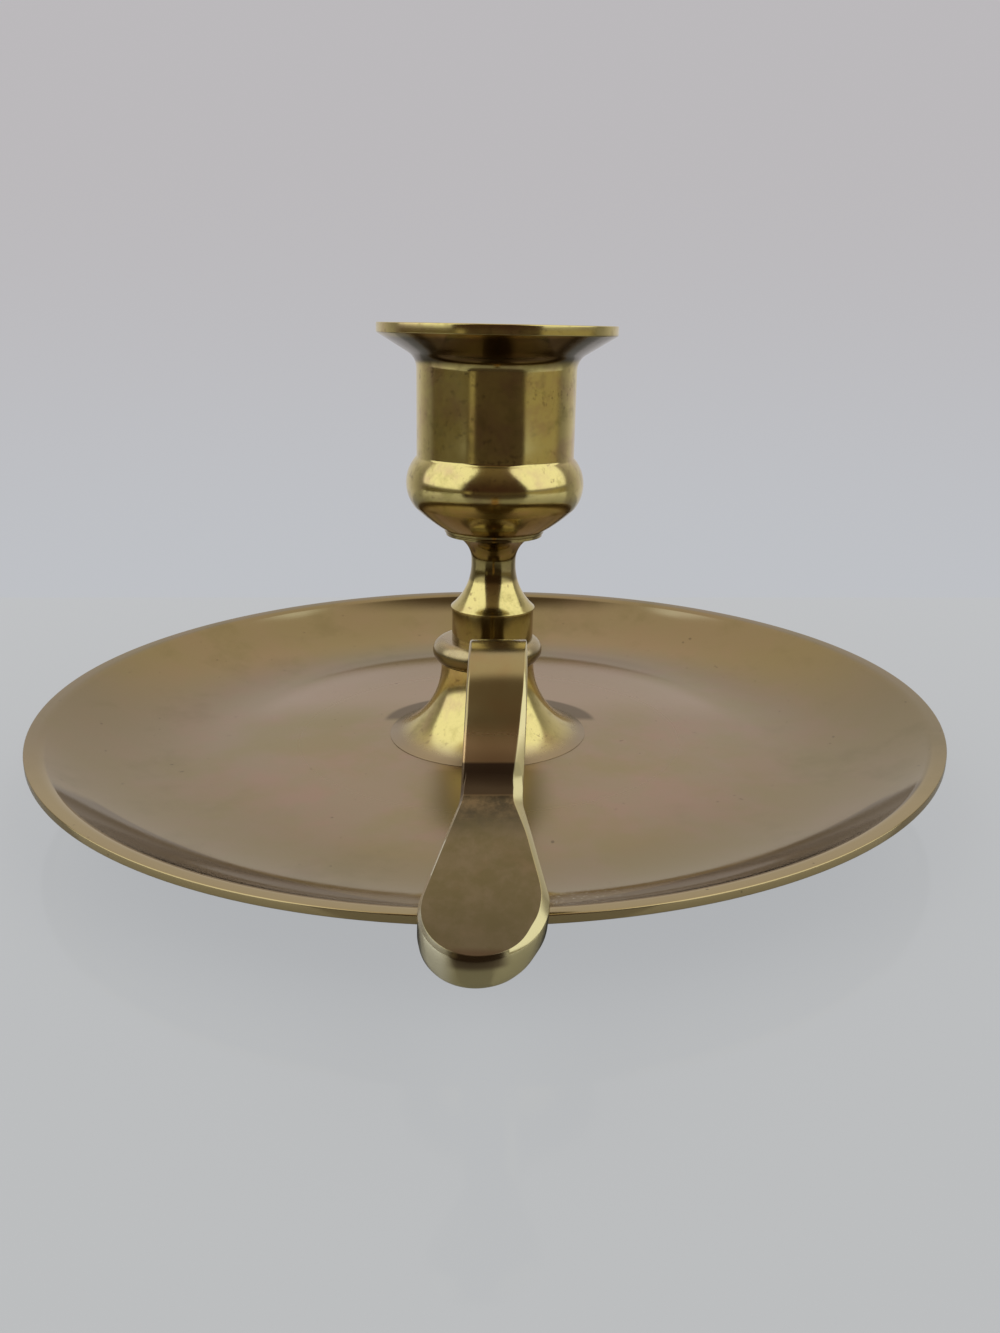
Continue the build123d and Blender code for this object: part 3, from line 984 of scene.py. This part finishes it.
finger_loop = joined("finger_loop_cast", [strap, thumb, foot])
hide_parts("finger_loop")
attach(finger_loop, "root")
strap_brass = (0.41, 0.33, 0.165, 1)
thumb_olive = (0.17, 0.14, 0.065, 1)
thumb_copper = (0.27, 0.19, 0.12, 1)
strap_brown = (0.40, 0.24, 0.11, 1)
strap_painted_reflection = (0.80, 0.54, 0.27, 1)
fillet_painted_dark = (0.08, 0.055, 0.04, 1)
thumb_brass = (0.235, 0.185, 0.115, 1)
thumb_dark = (0.095, 0.08, 0.055, 1)
thumb_brown = (0.13, 0.08, 0.05, 1)
highlight_pale = (0.85, 0.78, 0.58, 1)
highlight_brass = (0.66, 0.57, 0.30, 1)
strap_low = ((25 * mm, 26 * mm), (31 * mm, 34 * mm))
crevice_reach = ((75.3 * mm, 75.5 * mm), (77.2 * mm, 77.5 * mm))
crevice_height = ((25 * mm, 25.5 * mm), (29.6 * mm, 29.9 * mm))
neck_zone = ((77.2 * mm, 77.5 * mm), (79 * mm, 84 * mm))
thumb_zone = (outer_reach + 1 * mm, outer_reach + 3 * mm)
thumb_toning = (outer_reach, outer_reach + 5 * mm)
thumb_end = (87 * mm, 96 * mm)
tip_reach, tip_height = (95.9 * mm, 96.7 * mm), (18.3 * mm, 18.9 * mm)
tip_width = (1.8 * mm, 3.4 * mm)
right_edge, front_edge, left_edge = (0.12, 0.3), (0.38, 0.5), (0.25, 0.6)

finish = Finish("handle_brass_toned")
x, y, z = finish.axes()
away = 0 - y
facing = finish.node("ShaderNodeNewGeometry", {}, (), "Normal")
rightwards = finish.node("ShaderNodeSeparateXYZ", {}, (facing,))
forwards = 0 - Value(finish, rightwards.socket.node.outputs["Y"])
patch = finish.step(finish.noise(6 * mm, 4, 0.6, seed=11.0), 0.45, 0.70)
mottle = finish.step(finish.noise(3.5 * mm, 6, 0.7, seed=14.0), 0.38, 0.62)
bloom = finish.step(finish.noise(5 * mm, 5, 0.65, seed=15.0), 0.50, 0.66)
dust = finish.step(finish.noise(1.6 * mm, 4, 0.7, seed=6.0), 0.35, 0.65)
smear = finish.noise(5 * mm, 5, 0.7, seed=4.0)

# Painted reflection: the lower front of the strap is a bright copper.
low_strap = finish.between(z, *strap_low)
# Painted dark reflection in the hollow where the strap sweeps into the thumb rest.
crevice = finish.between(away, *crevice_reach) * finish.between(z, *crevice_height)
# Painted shade: the thumb rest's neck beyond the hollow is darkened.
neck_painted_shade = finish.between(away, *neck_zone)
on_thumb = finish.step(away, *thumb_zone)
# Painted highlights: faces turned to the right, and on the thumb rest faces turned to the front and
# to the left, are lighter.
front_highlight = on_thumb * finish.step(forwards, *front_edge) * 0.75
wear_and_highlight = finish.math_of("MAXIMUM", finish.step(rightwards, *right_edge), front_highlight)
left_highlight = on_thumb * finish.step(0 - rightwards, *left_edge)
# Painted dark reflection on the upper middle of the thumb rest's round end.
tip_dark_reflection = finish.step(away, *tip_reach) * finish.step(z, *tip_height)
tip_dark_reflection = tip_dark_reflection * (1 - finish.step(finish.math_of("ABSOLUTE", x), *tip_width))

on_top = finish.mix(mottle * 0.65, thumb_brass, thumb_olive)
on_top = finish.mix(bloom * 0.35, on_top, thumb_copper)
on_top = finish.mix(finish.step(away, *thumb_end) * 0.3, on_top, thumb_dark)
colour = finish.mix(patch * 0.4, strap_brass, strap_brown)
# Painted reflection on the lower strap.
colour = finish.mix(low_strap * 0.9, colour, strap_painted_reflection)
colour = finish.mix(finish.step(away, *thumb_toning), colour, on_top)
# Painted dark reflection in the hollow.
colour = finish.mix(crevice * 0.85, colour, fillet_painted_dark)
# Painted shade on the neck, broken up by fine noise.
colour = finish.mix(neck_painted_shade * (0.65 + 0.3 * dust), colour, thumb_dark)
# Painted highlights on faces by their facing.
colour = finish.mix(wear_and_highlight * 0.85, colour, highlight_brass)
colour = finish.mix(left_highlight * 0.8, colour, highlight_pale)
# Painted dark reflection at the tip.
colour = finish.mix(tip_dark_reflection * 0.75, colour, thumb_brown)
finish.set(Base_Color=colour, Metallic=1.0, Roughness=0.13 + smear * 0.12 + low_strap * 0.15)
handle_brass = finish.material
finger_loop.data.materials.append(handle_brass)

# Rivets: two peened brass rivets through the loop's foot and the pan.
# They are toned like the handle and sit behind its outer strap.
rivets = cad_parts["handle_rivets"]
rivets.data.materials.clear()
rivets.data.materials.append(handle_brass)

# Tie screw and washer: a slotted brass screw that clamps the stem from below, and its washer.
# Both are turned and left unpolished, so they are dull and brown.
screw_brass = (0.55, 0.43, 0.23, 1)
screw_grime = (0.22, 0.15, 0.07, 1)
finish = Finish("screw_brass_dull")
dark_zones = finish.step(finish.noise(2 * mm, 4, 0.6), 0.45, 0.7)
colour = finish.mix(dark_zones * 0.7, screw_brass, screw_grime)
finish.set(Base_Color=colour, Metallic=1.0, Roughness=0.3 + dark_zones * 0.2)
for node in ("tie_screw", "tie_washer"):
    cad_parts[node].data.materials.clear()
    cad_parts[node].data.materials.append(finish.material)

# Stage: a pale, slightly glossy table that ends behind the pan, in a light tent that is open at
# the front. The tent and the room are the world's own colours by direction, so every brass piece
# mirrors the same room.
table_half_width = 0.35
table_front = -0.45
table_back = 0.118
table_dark_zone = (-0.19, -0.12)
table_glow_share = 0.72
table_camera_pale = (0.585, 0.60, 0.62, 1)
table_white = (0.38, 0.38, 0.37, 1)
table_shade = (0.06, 0.045, 0.03, 1)
mesh = bpy.data.meshes.new("table_top")
corners = [
    (-table_half_width, table_front, 0),
    (table_half_width, table_front, 0),
    (table_half_width, table_back, 0),
    (-table_half_width, table_back, 0),
]
mesh.from_pydata(corners, [], [(0, 1, 2, 3)])
table = bpy.data.objects.new("table_top", mesh)
bpy.context.scene.collection.objects.link(table)
finish = Finish("table_white")
x, y, z = finish.axes()
# Painted shade: the table is dark towards the front, where the brass pieces mirror it.
front_painted_shade = 1 - finish.step(y, *table_dark_zone)
finish.set(
    Base_Color=finish.mix(front_painted_shade * 0.9, table_white, table_shade),
    Roughness=0.08,
    Specular_IOR_Level=0.5,
)
glow = finish.node("ShaderNodeEmission", {}, (table_camera_pale, 1.0))
seen = finish.node("ShaderNodeLightPath", {}, (), "Is Camera Ray")
surface = Value(finish, finish.surface.outputs[0])
both = finish.node("ShaderNodeMixShader", {}, (seen * table_glow_share, surface, glow))
finish.join(finish.tree.nodes["Material Output"].inputs["Surface"], both)
table.data.materials.append(finish.material)

world = bpy.data.worlds.new("light_tent")
bpy.context.scene.world = world
world.use_nodes = True


class Surroundings(Finish):
    """The world's nodes, made with the same methods as a finish."""

    def __init__(self, world):
        self.tree = world.node_tree
        self.surface = self.tree.nodes["Background"]
        self.place = self.node("ShaderNodeTexCoord", {}, (), "Generated")


tent_back = (0.62, 0.60, 0.60, 1)
tent_slope = (0.76, 0.69, 0.57, 1)
tent_zenith = (0.17, 0.13, 0.085, 1)
tent_side = (1.22, 1.28, 1.28, 1)
tent_wing = (0.25, 0.24, 0.23, 1)
room = (0.055, 0.03, 0.022, 1)
room_left = (0.13, 0.11, 0.065, 1)
room_right = (0.36, 0.32, 0.20, 1)
below = (0.08, 0.06, 0.04, 1)
backdrop_low = (0.52, 0.535, 0.565, 1)
backdrop_high = (0.50, 0.485, 0.50, 1)
backdrop_heights = (-14, 8)
slope_heights, zenith_heights = (26, 46), (68, 80)
wing_bearings, wing_heights = (105, 150), (30, 60)
strip_turn, strip_widening = (76, 88), (105, 175)
strip_least, strip_growth = 0.25, 0.42
tent_lean, tent_bow = 0.36, 0.2
strip_blur, panel_blur, tent_blur = (-0.03, 0.03), (-0.01, 0.03), (-0.05, 0.05)
panel_heights = ((3, 7), (64, 70))
room_heights, room_bearings, floor_heights = (5, 75), (92, 110), (-1, 3)
right_bearings, left_bearings, line_bearings = (38, 44), (-40, -36), (-32, -28)

around = Surroundings(world)
x, y, z = around.axes()
bearing = around.math_of("ARCTAN2", x, 0 - y) * degrees(1)
height = around.math_of("ARCSINE", z) * degrees(1)
turn = around.math_of("ARCTAN2", z, y) * degrees(1)
wide = around.math_of("ABSOLUTE", bearing)
aside = around.math_of("ABSOLUTE", x)

wing = (1 - around.step(wide, *wing_bearings)) * (1 - around.step(height, *wing_heights))
colour = around.mix(around.step(height, *slope_heights), tent_back, tent_slope)
colour = around.mix(wing, colour, tent_wing)
colour = around.mix(around.step(height, *zenith_heights), colour, tent_zenith)
strip_width = strip_least + strip_growth * around.step(turn, *strip_widening)
strip = 1 - around.step(aside - strip_width, *strip_blur)
strip = strip * around.step(turn, *strip_turn)
tent_edge = around.step(y - tent_lean * z - tent_bow * aside, *tent_blur)
panel = around.step(aside - strip_width, *panel_blur) * (1 - tent_edge)
panel = panel * around.between(height, *panel_heights)
front_colour = around.mix(around.step(height, *room_heights), room, tent_zenith)
colour = around.mix(strip, colour, front_colour)
colour = around.mix(panel, colour, tent_side)

front = 1 - around.step(wide, *room_bearings)
low = (1 - around.step(height, *floor_heights)) * front
right = around.step(bearing, *right_bearings)
left = 1 - around.step(bearing, *left_bearings)
frame_line = around.between(bearing, left_bearings, line_bearings)
colour = around.mix(low, colour, below)
colour = around.mix(low * frame_line, colour, room_right)
colour = around.mix(low * right, colour, room_right)
colour = around.mix(low * left, colour, room_left)
camera_ray = around.node("ShaderNodeLightPath", {}, (), "Is Camera Ray")
backdrop = around.mix(around.step(height, *backdrop_heights), backdrop_low, backdrop_high)
colour = around.mix(camera_ray, colour, backdrop)
around.join(around.surface.inputs["Color"], colour)

# Camera: level with the lip and close, looking down along the handle from its end.
# The wide lens makes the thumb rest loom in front of the pan.
camera_drop = radians(17.4)
camera_data = bpy.data.cameras.new("camera")
camera_data.lens = 29.7
camera_data.sensor_width = 36
camera = bpy.data.objects.new("camera", camera_data)
bpy.context.scene.collection.objects.link(camera)
camera.location = (1.9 * mm, -183 * mm, 74 * mm)
camera.rotation_euler = (radians(90) - camera_drop, 0, 0)
camera_data.clip_start = 0.005
bpy.context.scene.camera = camera
bpy.context.scene.view_settings.view_transform = "Standard"
